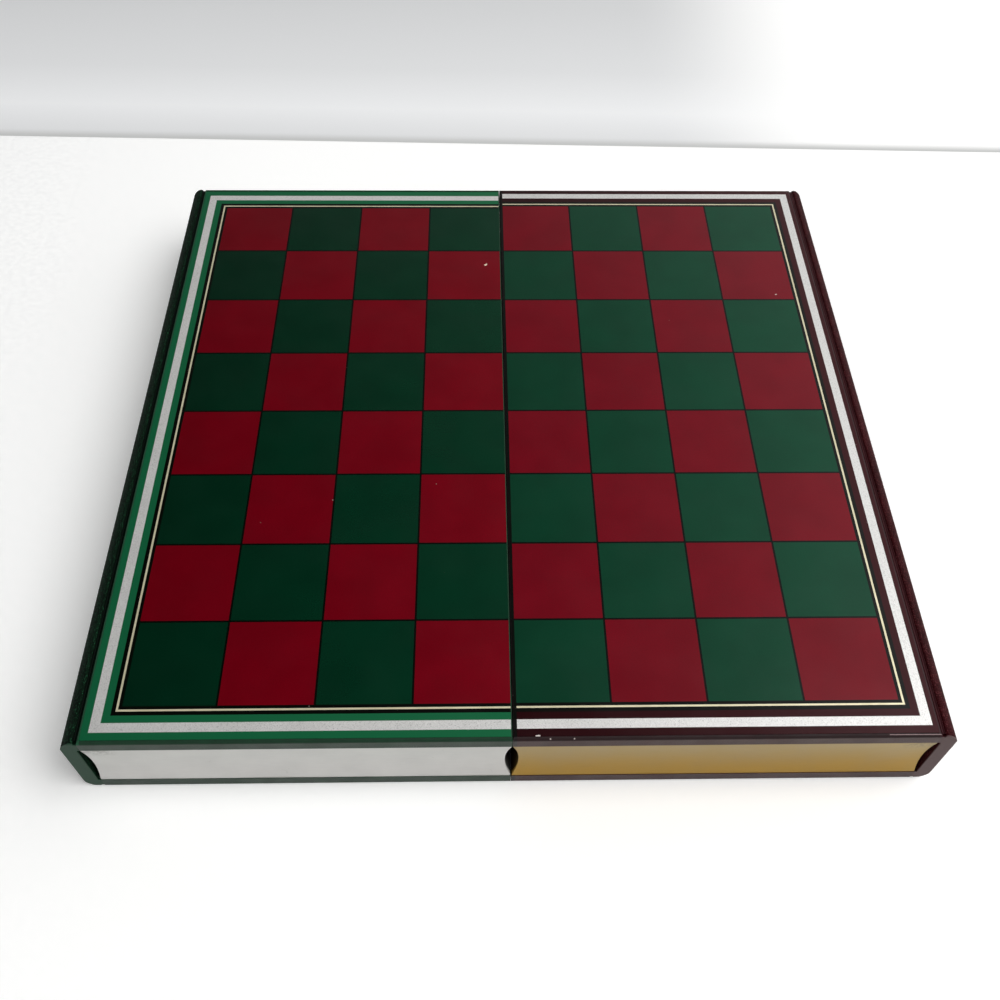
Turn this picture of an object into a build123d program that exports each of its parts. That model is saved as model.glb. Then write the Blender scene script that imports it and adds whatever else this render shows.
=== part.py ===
from build123d import *
import os
from math import atan2, cos, degrees, pi, sin

# A chess set in the form of two hollow books that lie side by side, spines outward.
# Each cover carries half of the board, hinges at the joint beside the spine, and
# closes a tray of sixteen chessmen framed by four rails shaped like page edges.
# Millimetres, +Z up. The origin is on the table under the middle of the board.
# X runs from the green volume on the left to the maroon one on the right.

# Board half
square = 38.0
files = 4
ranks = 8
border = 13.4
fore_margin = 0.65
joint_margin = 13.25

# Case
thickness = 42.0
board_thickness = 6.5
print_thickness = 0.3
edge_radius = 1.4
fore_radius = 0.5
volume_gap = 0.2

# Spine and the joints beside it
spine_wall = 6.4
spine_radius = 8.0
spine_end_radius = 1.0
spine_corner_radius = 1.0
joint_gap = 1.3
joint_radius = 1.2
joint_depth = 0.7
strip_thickness = 1.0
tongue_clearance = 0.1

# Page block: four mitred rails with hollowed faces, deepest at the fore-edge
rail_width = 9.0
rail_inset = 0.25
fore_cove = 2.4
side_cove = 1.0
cove_lip = 1.0

# Inside
floor_lining = 1.0
cover_lining = 0.8
lining_clearance = 1.0
divider_thickness = 2.0
divider_height = 20.0
slot_clearance = 0.1
magnet_radius = 3.0
magnet_height = 2.0
magnet_clearance = 0.1
magnet_spread = 220.0

# Chessmen, all cut with flat facets
sides = 16
foot_height = 2.6
foot_bevel = 1.6
neck_radius = 3.0
collar_bevel = 1.6
pawn_foot, pawn_height, pawn_head = 8.6, 34.0, 5.6
rook_foot, rook_height, rook_crown = 10.0, 37.0, 7.4
knight_foot, knight_height = 10.0, 42.0
bishop_foot, bishop_height, bishop_mitre = 10.0, 46.0, 5.8
queen_foot, queen_height, queen_coronet = 10.6, 53.0, 7.0
king_foot, king_height, king_crown = 10.6, 60.0, 6.8
crown_wall = 1.8
crown_slot = 2.4
mitre_slot = 1.4
cross_height = 8.0
cross_width = 9.0
cross_bar = 3.0
knight_thickness = 7.0
knight_neck = 6.5
knight_throat = 3.4
knight_muzzle = 9.4
knight_chin = 19.2
knight_jaw = 6.5
knight_ear = 2.4
foot_clearance = 3.0

# Worked out from the sizes above
board_width = fore_margin + files * square + joint_margin
cover_depth = ranks * square + 2 * (border + edge_radius)
volume_width = board_width + joint_gap + spine_wall
block_height = thickness - 2 * board_thickness
block_top = thickness - board_thickness
floor_top = board_thickness + floor_lining
inner_start = rail_inset + rail_width
inner_end = board_width - rail_width
inner_depth = cover_depth - 2 * inner_start
cell_length = (inner_end - inner_start - divider_thickness) / 2
cell_pitch = (inner_depth + divider_thickness) / ranks


def box(start, end):
    """Solid box between two opposite corners."""
    size = [b - a for a, b in zip(start, end)]
    middle = [(a + b) / 2 for a, b in zip(start, end)]
    return Pos(*middle) * Box(*size)


def rounded_bar(width, height, radii):
    """Face from x = 0 to width with its two top corners rounded, left and right."""
    face = Pos(width / 2, height / 2) * Rectangle(width, height)
    for side, radius in zip((0, width), radii):
        corner = face.vertices().filter_by_position(Axis.X, side - 0.01, side + 0.01).sort_by(Axis.Y)[-1]
        face = fillet(corner, radius)
    return face


def cover_board(height):
    """Cover board lying on z = 0, its rounded top edges mitred at the corners."""
    across = extrude(
        Plane.XZ * rounded_bar(board_width, height, (fore_radius, joint_radius)), cover_depth / 2, both=True
    )
    along = Pos(-cover_depth / 2, 0) * rounded_bar(cover_depth, height, (edge_radius, edge_radius))
    return across & extrude(Plane.YZ * along, board_width)


def magnet_places(height):
    """Middles of the two closing magnets' lower faces, at a height."""
    middle = rail_inset + rail_width / 2
    return [Pos(middle, side * magnet_spread / 2, height) for side in (-1, 1)]


def magnets(height, extra=0.0):
    """Two magnet discs, or their pockets when extra room is given."""
    disc = Cylinder(
        magnet_radius + extra, magnet_height + extra, align=(Align.CENTER, Align.CENTER, Align.MIN)
    )
    return [place * disc for place in magnet_places(height)]


def front_board():
    """Hinged cover board with two magnet pockets under its fore-edge."""
    board = Pos(0, 0, block_top) * cover_board(board_thickness - print_thickness)
    return board - magnets(block_top - magnet_clearance, magnet_clearance * 2)


def back_board():
    """Lower board, the front board turned over."""
    return Pos(0, 0, board_thickness) * (Rot(X=180) * cover_board(board_thickness))


def board_print():
    """Printed sheet on the flat of the front board, with its half of the chessboard."""
    low, high = thickness - print_thickness, thickness
    half_depth = cover_depth / 2 - edge_radius
    return box((fore_radius, -half_depth, low), (board_width - joint_radius, half_depth, high))


def spine():
    """Spine wall with round outer corners and a tongue under each joint strip."""
    outer = Pos(volume_width - thickness / 2, thickness / 2) * RectangleRounded(
        thickness, thickness, spine_radius
    )
    wall_middle = volume_width - spine_wall / 2
    section = outer & Pos(wall_middle, thickness / 2) * Rectangle(spine_wall, thickness)
    wall_start = volume_width - spine_wall
    corners = section.vertices().filter_by_position(Axis.X, wall_start - 0.01, wall_start + 0.01)
    section = fillet(corners, spine_corner_radius)
    tongue_low = thickness - board_thickness
    tongue_high = thickness - joint_depth - strip_thickness
    tongue_start = board_width + tongue_clearance
    tongue_end = wall_start + spine_wall / 2
    tongue = Rectangle(
        tongue_end - tongue_start, tongue_high - tongue_low, align=(Align.MIN, Align.MIN)
    )
    section += Pos(tongue_start, tongue_low) * tongue
    section += Pos(tongue_start, thickness - tongue_high) * tongue
    shell = extrude(Plane.XZ * section, cover_depth / 2, both=True)
    side_view = Pos(0, thickness / 2) * RectangleRounded(cover_depth, thickness, edge_radius)
    shell &= extrude(Plane.YZ * side_view, volume_width)
    plan_view = RectangleRounded(2 * volume_width, cover_depth, spine_end_radius)
    return shell & extrude(plan_view, thickness)


def joint_strip():
    """Flexible strip that bridges the joint beside the front board."""
    high = thickness - joint_depth
    half_depth = cover_depth / 2 - edge_radius
    return box(
        (board_width, -half_depth, high - strip_thickness),
        (board_width + joint_gap, half_depth, high),
    )


def back_joint_strip():
    """The same strip beside the back board."""
    return mirror(joint_strip(), about=Plane.XY.offset(thickness / 2))


def hollow(cove):
    """Segment of a circle that the cove takes from a face at x = 0."""
    low = Vector(0, cove_lip)
    high = Vector(0, block_height - cove_lip)
    return make_face(Line(low, high) + ThreePointArc(high, Vector(cove, block_height / 2), low))


def rail(length, cove):
    """Mitred rail along Y, its hollowed outer face at x = 0 and its foot at z = 0."""
    half = length / 2
    inner = half - rail_width
    plan = make_face(Polyline((0, -half), (0, half), (rail_width, inner), (rail_width, -inner), close=True))
    return extrude(plan, block_height) - extrude(Plane.XZ * hollow(cove), half, both=True)


def rails():
    """The four rails of the page block, by name; the fore-edge cove runs on across the end rails."""
    start, end = rail_inset, board_width
    half_depth = cover_depth / 2 - rail_inset
    middle = (start + end) / 2
    side = Pos(start, 0, board_thickness)
    head = rail(end - start, side_cove)
    fore_hollow = side * extrude(Plane.XZ * hollow(fore_cove), half_depth, both=True)
    pockets = magnets(block_top - magnet_height - magnet_clearance, 2 * magnet_clearance)
    return {
        "fore_edge_rail": side * rail(2 * half_depth, fore_cove) - pockets,
        "spine_rail": Pos(end, 0, board_thickness) * (Rot(Z=180) * rail(2 * half_depth, side_cove)),
        "tail_rail": Pos(middle, -half_depth, board_thickness) * (Rot(Z=90) * head) - fore_hollow,
        "head_rail": Pos(middle, half_depth, board_thickness) * (Rot(Z=-90) * head) - fore_hollow,
    }


def floor_sheet():
    """Soft lining on the back board inside the rails."""
    return box((inner_start, -inner_depth / 2, board_thickness), (inner_end, inner_depth / 2, floor_top))


def cover_sheet():
    """Soft lining under the front board that drops inside the rails."""
    start, end = inner_start + lining_clearance, inner_end - lining_clearance
    half_depth = inner_depth / 2 - lining_clearance
    return box((start, -half_depth, block_top - cover_lining), (end, half_depth, block_top))


def cell_line(index):
    """Y of the divider before a cell."""
    return -inner_depth / 2 - divider_thickness / 2 + index * cell_pitch


def long_divider():
    """Divider along the tray, with a slot from above for each cross divider."""
    start = inner_start + cell_length
    end = start + divider_thickness
    wall = box((start, -inner_depth / 2, floor_top), (end, inner_depth / 2, floor_top + divider_height))
    half_slot = divider_thickness / 2 + slot_clearance
    for index in range(1, ranks):
        line = cell_line(index)
        low = floor_top + divider_height / 2 - slot_clearance / 2
        wall -= box((start - 1, line - half_slot, low), (end + 1, line + half_slot, thickness))
    return wall


def cross_dividers():
    """Dividers across the tray, each with a slot from below for the long one."""
    half_slot = divider_thickness / 2 + slot_clearance
    middle = inner_start + cell_length + divider_thickness / 2
    walls = []
    for index in range(1, ranks):
        line = cell_line(index)
        low, high = line - divider_thickness / 2, line + divider_thickness / 2
        wall = box((inner_start, low, floor_top), (inner_end, high, floor_top + divider_height))
        slot_high = floor_top + divider_height / 2 + slot_clearance / 2
        wall -= box((middle - half_slot, low - 1, 0), (middle + half_slot, high + 1, slot_high))
        walls.append(wall)
    return walls


def ring(radius, height):
    """Corners of a many-sided ring, with one flat facing each way along X."""
    step = 2 * pi / sides
    corner_radius = radius / cos(step / 2)
    angles = [step * (index + 0.5) for index in range(sides)]
    return [(corner_radius * cos(angle), corner_radius * sin(angle), height) for angle in angles]


def faceted(sections):
    """Solid of flat facets through a ring for each radius and height."""
    rings = [ring(radius, height) for radius, height in sections]
    outlines = [rings[0], rings[-1]]
    for low, high in zip(rings, rings[1:]):
        for index in range(sides):
            outlines.append([low[index - 1], low[index], high[index], high[index - 1]])
    return Solid(Shell([Face(Wire.make_polygon(outline)) for outline in outlines]))


def foot(radius):
    """Sections of the shared foot."""
    return [(radius, 0), (radius, foot_height), (radius - foot_bevel, foot_height + foot_bevel)]


def collar(height, radius):
    """Sections of a bevelled collar on the neck, centred on a height."""
    return [(neck_radius, height - collar_bevel), (radius, height), (neck_radius, height + collar_bevel)]


def pawn():
    """Pawn with a bevelled round head."""
    height, ball = pawn_height, pawn_head
    head = [(ball, height - 1.35 * ball), (ball, height - 0.65 * ball), (ball / 2, height)]
    return faceted(foot(pawn_foot) + collar(height - 2.2 * ball, ball) + head), head[1]


def rook():
    """Rook with a hollow crown cut by two crossed slots."""
    height, crown = rook_height, rook_crown
    tower = [(0.6 * crown, height - 1.5 * crown), (crown, height - 1.2 * crown), (crown, height)]
    body = faceted(foot(rook_foot) + tower)
    body -= faceted([(crown - crown_wall, height - crown_slot), (crown - crown_wall, height)])
    for turn in (45, 135):
        slot = Box(2 * rook_foot, crown_slot, crown_slot, align=(Align.CENTER, Align.CENTER, Align.MAX))
        body -= Pos(0, 0, height) * (Rot(Z=turn) * slot)
    return body, tower[-1]


def bishop():
    """Bishop with a pointed mitre cut by one slanted slot."""
    height, mitre = bishop_height, bishop_mitre
    head = [(mitre, height - 1.5 * mitre), (0.35 * mitre, height - 0.35 * mitre), (0.2 * mitre, height)]
    body = faceted(foot(bishop_foot) + collar(height - 2.7 * mitre, mitre) + head)
    slot = Rot(X=-35) * Box(2 * mitre, 1.2 * mitre, mitre_slot)
    return body - Pos(0, -0.6 * mitre, height - 0.85 * mitre) * slot, head[0]


def queen():
    """Queen with a flared coronet under a low dome."""
    height, coronet = queen_height, queen_coronet
    flare = [(0.6 * coronet, height - 1.7 * coronet), (coronet, height - 0.6 * coronet)]
    dome = [(0.7 * coronet, height - 0.45 * coronet), (0.5 * coronet, height - 0.15 * coronet)]
    sections = foot(queen_foot) + collar(height - 2.4 * coronet, 0.9 * coronet)
    return faceted(sections + flare + dome + [(0.25 * coronet, height)]), flare[1]


def king():
    """King with a flared crown and an upright cross."""
    height, crown = king_height, king_crown
    top = height - cross_height
    head = [(0.6 * crown, top - 1.5 * crown), (crown, top - 0.25 * crown), (0.6 * crown, top)]
    body = faceted(foot(king_foot) + collar(top - 2.2 * crown, 0.9 * crown) + head)
    middle = top + cross_height / 2
    post = Pos(0, 0, middle - cross_bar / 2) * Box(cross_bar, cross_bar, cross_height + cross_bar)
    arms = Pos(0, 0, middle) * Box(cross_bar, cross_width, cross_bar)
    return body + post + arms, head[1]


def knight():
    """Knight: a horse's head and neck cut from a plate, on the shared foot."""
    low = foot_height + foot_bevel
    top, chin, brow = knight_height, knight_chin, knight_chin + knight_jaw
    middle = (low + chin) / 2
    chest = ThreePointArc((knight_neck, low), (knight_throat, middle), (knight_throat, chin))
    nose = [(0.9 * knight_muzzle, chin + 0.4 * knight_jaw), (knight_muzzle, brow)]
    face = Polyline((knight_throat, chin), *nose, (2 * knight_ear, top - knight_jaw), (knight_ear, top))
    crest = (-1.1 * knight_neck, middle + knight_chin / 2)
    mane = ThreePointArc((knight_ear, top), crest, (-knight_neck, low))
    outline = chest + face + mane + Line((-knight_neck, low), (knight_neck, low))
    half = knight_thickness / 2
    head = extrude(Plane.YZ * make_face(outline), half, both=True)
    return faceted(foot(knight_foot)) + head, (half, top)


def lying(man, foot_radius, tip, toward):
    """Man laid on its side at the origin, foot first, touching the floor at foot and head."""
    tip_radius, tip_height = tip
    tilt = atan2(foot_radius - tip_radius, tip_height - foot_height)
    lift = foot_height * sin(tilt) + foot_radius * cos(tilt)
    return Pos(0, 0, lift) * (Rot(Z=0 if toward > 0 else 180) * (Rot(Y=90 + degrees(tilt)) * man))


def chessmen():
    """The sixteen men of one side, lying in their cells, by name."""
    kinds = {
        "rooks": (rook, rook_foot, (0, 7)),
        "knights": (knight, knight_foot, (1, 6)),
        "bishops": (bishop, bishop_foot, (2, 5)),
        "queen": (queen, queen_foot, (3,)),
        "king": (king, king_foot, (4,)),
        "pawns": (pawn, pawn_foot, range(ranks)),
    }
    groups = {}
    for name, (maker, foot_radius, cells) in kinds.items():
        man, tip = maker()
        toward = 1 if name == "pawns" else -1
        laid = lying(man, foot_radius, tip, toward)
        start = inner_start + foot_clearance if toward > 0 else inner_end - foot_clearance
        places = [Pos(start, cell_line(cell) + cell_pitch / 2, floor_top) for cell in cells]
        groups[name] = [place * laid for place in places]
    return groups


def volume():
    """Every piece of one volume, its fore-edge at x = 0 and its spine at the right."""
    pieces = {
        "front_board": front_board(),
        "back_board": back_board(),
        "board_print": board_print(),
        "spine": spine(),
        "joint_strip": joint_strip(),
        "back_joint_strip": back_joint_strip(),
        "floor_lining": floor_sheet(),
        "cover_lining": cover_sheet(),
        "long_divider": long_divider(),
        "cross_dividers": cross_dividers(),
        "rail_magnets": magnets(block_top - magnet_height - magnet_clearance),
        "cover_magnets": magnets(block_top + magnet_clearance),
    }
    pieces.update(rails())
    return pieces


def save(name, solids):
    """Write one piece, or a group of like pieces, as a STEP file."""
    shape = solids[0] if len(solids) == 1 else Compound([solid.solid() for solid in solids])
    export_step(shape, f"parts/{name}.step")


os.makedirs("parts", exist_ok=True)
case_pieces = volume()
men = chessmen()
to_right = Pos(volume_gap / 2, 0, 0)
for cover, metal, left in (("green", "silver", True), ("maroon", "gold", False)):
    named = {f"{cover}_{name}": piece for name, piece in case_pieces.items()}
    named.update({f"{metal}_{name}": piece for name, piece in men.items()})
    for name, piece in named.items():
        solids = [to_right * solid for solid in (piece if isinstance(piece, list) else [piece])]
        if left:
            solids = [mirror(solid, about=Plane.YZ) for solid in solids]
        save(name, solids)
print("cover depth", cover_depth, "volume width", volume_width, "cell", cell_length, cell_pitch)
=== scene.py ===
"""Looks of a chess set in two book-shaped boxes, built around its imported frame.

The green volume with silver pages lies on the left and the maroon one with gold pages on the
right. Each cover carries half of the chessboard and opens over a tray of sixteen men.
Sizes in the classes are millimetres; everything in Blender is metres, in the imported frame.
"""

import logging
import math
from collections.abc import Callable, Mapping, Sequence
from dataclasses import dataclass
from enum import Enum

import bpy
from mathutils import Matrix, Vector


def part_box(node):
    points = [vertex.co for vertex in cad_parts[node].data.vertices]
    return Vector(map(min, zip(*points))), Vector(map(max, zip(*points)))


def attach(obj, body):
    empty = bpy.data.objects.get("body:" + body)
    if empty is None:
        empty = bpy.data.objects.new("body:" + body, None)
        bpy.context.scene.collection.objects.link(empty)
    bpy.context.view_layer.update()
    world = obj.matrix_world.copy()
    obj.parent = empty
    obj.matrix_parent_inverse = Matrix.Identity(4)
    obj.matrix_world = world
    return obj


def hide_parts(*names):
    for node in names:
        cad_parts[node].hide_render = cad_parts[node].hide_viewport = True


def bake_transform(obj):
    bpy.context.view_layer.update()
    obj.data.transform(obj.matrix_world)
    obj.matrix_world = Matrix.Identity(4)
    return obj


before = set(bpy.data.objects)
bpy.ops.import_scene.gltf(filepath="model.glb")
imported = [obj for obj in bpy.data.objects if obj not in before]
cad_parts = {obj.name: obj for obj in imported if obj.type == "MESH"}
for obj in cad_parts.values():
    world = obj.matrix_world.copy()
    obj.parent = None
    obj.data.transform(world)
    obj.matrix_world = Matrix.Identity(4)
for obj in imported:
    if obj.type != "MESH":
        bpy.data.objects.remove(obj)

MM = 0.001
Piece, Socket, Tree = bpy.types.Object, bpy.types.NodeSocket, bpy.types.NodeTree
Colour = tuple[float, float, float, float]
Point = tuple[float, float]
Box = tuple[Vector, Vector]
BLACK, WHITE = (0.0, 0.0, 0.0, 1.0), (1.0, 1.0, 1.0, 1.0)
log = logging.getLogger("chess_set")


class Cover(Enum):
    """The two volumes, and which way each one lies from the seam."""

    GREEN = -1
    MAROON = 1

    @property
    def word(self) -> str:
        """Colour word that starts the names of the volume's pieces."""
        return self.name.lower()

    @property
    def metal(self) -> str:
        """Tone of the men and pages in this volume."""
        return "silver" if self is Cover.GREEN else "gold"


def paint(red: int, green: int, blue: int) -> Colour:
    """Turn a colour given as 0 to 255 a channel into a linear one.

    Args:
        red: Red as seen on screen.
        green: Green as seen on screen.
        blue: Blue as seen on screen.

    Returns:
        The colour as shader sockets take it.
    """
    def linear(value: int) -> float:
        """One channel on the linear scale."""
        share = value / 255
        return share / 12.92 if share <= 0.04045 else ((share + 0.055) / 1.055) ** 2.4

    return linear(red), linear(green), linear(blue), 1.0


class Value:
    """A number that comes out of a node; sums and tests on it place Math nodes."""

    def __init__(self, bench: "Bench", socket: Socket) -> None:
        """Keep the bench that the next nodes go on."""
        self.bench, self.socket = bench, socket

    def math(self, operation: str, *operands: object) -> "Value":
        """Work out a number from plain ones and values."""
        node = self.bench.add("ShaderNodeMath", dict(enumerate(operands)), operation=operation)
        return Value(self.bench, node.outputs[0])

    def __add__(self, other: object) -> "Value":
        """Sum of both."""
        return self.math("ADD", self, other)

    def __mul__(self, other: object) -> "Value":
        """Product of both."""
        return self.math("MULTIPLY", self, other)

    __radd__ = __add__

    def __sub__(self, other: object) -> "Value":
        """This one less the other."""
        return self.math("SUBTRACT", self, other)

    def __rsub__(self, other: object) -> "Value":
        """The other less this one."""
        return self.math("SUBTRACT", other, self)

    def __truediv__(self, other: object) -> "Value":
        """This one divided by the other."""
        return self.math("DIVIDE", self, other)

    def __rtruediv__(self, other: object) -> "Value":
        """The other divided by this one."""
        return self.math("DIVIDE", other, self)

    def __lt__(self, other: object) -> "Value":
        """1 where this one is smaller, or else 0."""
        return self.math("LESS_THAN", self, other)

    def __gt__(self, other: object) -> "Value":
        """1 where this one is larger, or else 0."""
        return self.math("GREATER_THAN", self, other)

    def __abs__(self) -> "Value":
        """This one without its sign."""
        return self.math("ABSOLUTE", self)

    def least(self, other: object) -> "Value":
        """The smaller of both."""
        return self.math("MINIMUM", self, other)

    def most(self, other: object) -> "Value":
        """The larger of both."""
        return self.math("MAXIMUM", self, other)

    def clamped(self) -> "Value":
        """Keep the result of the last node between 0 and 1."""
        self.socket.node.use_clamp = True
        return self

    def step(self, low: float, high: float, start: float = 0.0, end: float = 1.0) -> "Value":
        """Pass smoothly from start, at low, to end, at high."""
        values = {0: self, 1: low, 2: high, 3: start, 4: end}
        node = self.bench.add("ShaderNodeMapRange", values, interpolation_type="SMOOTHSTEP")
        return Value(self.bench, node.outputs[0])


class Bench:
    """Lays out nodes in one node tree; noise and axes read its place unless told otherwise."""

    place: Socket | None = None

    def __init__(self, tree: Tree) -> None:
        """Keep the tree to work on."""
        self.tree = tree

    def add(self, kind: str, values: dict | None = None, **settings: object) -> bpy.types.Node:
        """Place a node.

        Args:
            kind: Node type.
            values: Sockets or plain values for its inputs, by name or number.
            **settings: Attributes of the node itself.

        Returns:
            The node.
        """
        node = self.tree.nodes.new(kind)
        for name, setting in settings.items():
            setattr(node, name, setting)
        for key, value in (values or {}).items():
            self.feed(node.inputs[key], value)
        return node

    def feed(self, socket: Socket, value: object) -> None:
        """Link another socket to this one, or set its plain value."""
        source = value.socket if isinstance(value, Value) else value
        if isinstance(source, Socket):
            self.tree.links.new(source, socket)
        else:
            socket.default_value = source

    def vector(self, operation: str, first: object, second: object) -> Socket:
        """Work out a vector from two."""
        return self.add("ShaderNodeVectorMath", {0: first, 1: second}, operation=operation).outputs[0]

    def measure(self, operation: str, first: object, second: object) -> Value:
        """Work out a number from two vectors."""
        node = self.add("ShaderNodeVectorMath", {0: first, 1: second}, operation=operation)
        return Value(self, node.outputs[1])

    def axes(self, vector: object = None) -> list[Value]:
        """Three parts of a vector or colour, or of the place."""
        node = self.add("ShaderNodeSeparateXYZ", {0: vector or self.place})
        return [Value(self, output) for output in node.outputs]

    def mix(self, share: object, first: object, second: object, blend: str = "MIX") -> Socket:
        """Mix two colours.

        Args:
            share: How much of the second colour there is.
            first: Colour or socket at share 0.
            second: Colour or socket at share 1.
            blend: Blend type of the Mix node.

        Returns:
            The mixed colour's socket.
        """
        values = {0: share, 6: first, 7: second}
        return self.add("ShaderNodeMix", values, data_type="RGBA", blend_type=blend).outputs[2]

    def noise(self, size: float, detail: float = 2.0, rough: float = 0.5, place: object = None) -> Value:
        """Noise whose lumps are about size millimetres across."""
        values = {"Vector": place or self.place, "Scale": 1 / (size * MM), "Detail": detail,
                  "Roughness": rough}
        return Value(self, self.add("ShaderNodeTexNoise", values).outputs[0])

    def stretched(self, stretch: tuple[float, float, float]) -> Socket:
        """The place squeezed or stretched along its axes."""
        return self.vector("MULTIPLY", self.place, stretch)


class Effect(Bench):
    """A shared effect: a node group that reads a place."""

    VECTORS = ("Place", "Low", "High")

    def __init__(self, name: str, inputs: tuple[str, ...], outputs: tuple[str, ...]) -> None:
        """Make the group and its sockets.

        Args:
            name: Name of the group.
            inputs: Names of its inputs beside Place.
            outputs: Names of its outputs.
        """
        super().__init__(bpy.data.node_groups.new(name, "ShaderNodeTree"))
        for side, labels in (("INPUT", ("Place", *inputs)), ("OUTPUT", outputs)):
            for label in labels:
                kind = "NodeSocketVector" if label in self.VECTORS else "NodeSocketFloat"
                self.tree.interface.new_socket(label, in_out=side, socket_type=kind)
        self.given = self.tree.nodes.new("NodeGroupInput").outputs
        self.result = self.tree.nodes.new("NodeGroupOutput").inputs
        self.place = self.given["Place"]

    def number(self, label: str) -> Value:
        """One of the group's numbers."""
        return Value(self, self.given[label])

    def sway(self, scale: float, reach: float, detail: float = 2.0, centre: float = 0.0) -> Socket:
        """Shift the place about by noise.

        Args:
            scale: Scale of the noise.
            reach: How far it shifts at most, in metres.
            detail: Detail of the noise.
            centre: Noise that shifts nothing.

        Returns:
            The shifted place.
        """
        values = {"Vector": self.place, "Scale": scale, "Detail": detail}
        drift = self.add("ShaderNodeTexNoise", values).outputs[1]
        drift = self.vector("SUBTRACT", drift, (centre,) * 3)
        return self.vector("ADD", self.place, self.vector("MULTIPLY", drift, (reach,) * 3))

    def cells(self, place: object, scale: object, **settings: object) -> Mapping[str, Socket]:
        """Outputs of a Voronoi texture."""
        return self.add("ShaderNodeTexVoronoi", {"Vector": place, "Scale": scale}, **settings).outputs

    def cracks(self, place: object, scale: object) -> Value:
        """Distance to the nearest border between cells."""
        return Value(self, self.cells(place, scale, feature="DISTANCE_TO_EDGE")["Distance"])

    def give(self, **results: Value) -> Tree:
        """Feed the group's outputs and hand it over."""
        for label, value in results.items():
            self.feed(self.result[label], value)
        return self.tree


def edge_wear() -> Tree:
    """Wear along the edges of a box-like piece, from its lowest and highest corner.

    Returns:
        The group; Mask is 1 at an edge and 0 on the open faces.
    """
    effect = Effect("edge wear", ("Low", "High", "Width"), ("Mask",))
    below = effect.vector("SUBTRACT", effect.place, effect.given["Low"])
    above = effect.vector("SUBTRACT", effect.given["High"], effect.place)
    x, y, z = effect.axes(effect.vector("MINIMUM", below, above))
    middle = x.least(y).most(x.most(y).least(z))
    reach = effect.number("Width") * (effect.noise(3.0, 4.0, 0.65) * 2.0)
    share = (1.0 - middle / reach).clamped()
    return effect.give(Mask=share * share)


def hide_grain() -> Tree:
    """Pebbled grain of leather or leathercloth.

    Returns:
        The group; Height feeds a Bump node and Crease is 1 between the pebbles.
    """
    effect = Effect("hide grain", ("Scale",), ("Height", "Crease"))
    moved = effect.sway(900.0, 0.6 * MM, centre=0.5)
    pebble = effect.cracks(moved, effect.number("Scale")).step(0.0, 0.22)
    return effect.give(Height=effect.noise(0.25, 3.0) * 0.35 + pebble, Crease=1.0 - pebble)


def flecks() -> Tree:
    """Sparse small dots, such as dust, chips or specks in paint.

    Returns:
        The group; Mask is 1 on a dot. Spacing and Size are metres, Share is how many cells have a dot.
    """
    effect = Effect("flecks", ("Spacing", "Size", "Share"), ("Mask",))
    spacing = effect.number("Spacing")
    cell = effect.cells(effect.sway(1500.0, 0.4 * MM), 1.0 / spacing)
    first, second, _ = effect.axes(cell["Color"])
    radius = effect.number("Size") / spacing * (second + 0.3)
    inside = (1.0 - Value(effect, cell["Distance"]) / radius).clamped()
    return effect.give(Mask=(inside * 3.0).clamped() * (first < effect.number("Share")))


def glitter() -> Tree:
    """Fine metal flake: every flake has its own brightness.

    Returns:
        The group; Tone runs from 0 to 1 and Spark is 1 on the few brightest flakes.
    """
    effect = Effect("glitter", ("Flake", "Share"), ("Tone", "Spark"))
    cell = effect.cells(effect.place, 1.0 / effect.number("Flake"))
    first, second, third = effect.axes(cell["Color"])
    return effect.give(Tone=second * 0.6 + third * 0.4, Spark=first < effect.number("Share"))


def scratches() -> Tree:
    """Short hairline scratches in changing directions.

    Returns:
        The group; Mask is 1 in a scratch. Spacing is metres.
    """
    effect = Effect("scratches", ("Spacing", "Share"), ("Mask",))
    line = effect.cracks(effect.sway(60.0, 20 * MM, 1.0), 1.0 / effect.number("Spacing"))
    here = effect.noise(14.0, 3.0) < effect.number("Share")
    return effect.give(Mask=line.step(0.004, 0.012, 1.0, 0.0) * here)


def fibres() -> Tree:
    """Matted fibres of felt.

    Returns:
        The group; Height feeds a Bump node and Tone varies around 0.5.
    """
    effect = Effect("fibres", (), ("Height", "Tone"))
    ways = ((1.0, 4.5, 1.0), (4.5, 1.0, 1.0), (3.0, 3.0, 1.0))
    first, second, third = (effect.noise(1.4, 4.0, 0.7, effect.stretched(way)) for way in ways)
    height = first.most(second).most(third)
    return effect.give(Height=height, Tone=effect.noise(9.0, 3.0) * 0.4 + height * 0.6)


@dataclass(frozen=True)
class Effects:
    """The shared effects, each built once."""

    wear: Tree
    grain: Tree
    flecks: Tree
    glitter: Tree
    scratches: Tree
    fibres: Tree

    @classmethod
    def build(cls) -> "Effects":
        """Build every effect."""
        return cls(edge_wear(), hide_grain(), flecks(), glitter(), scratches(), fibres())


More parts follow.
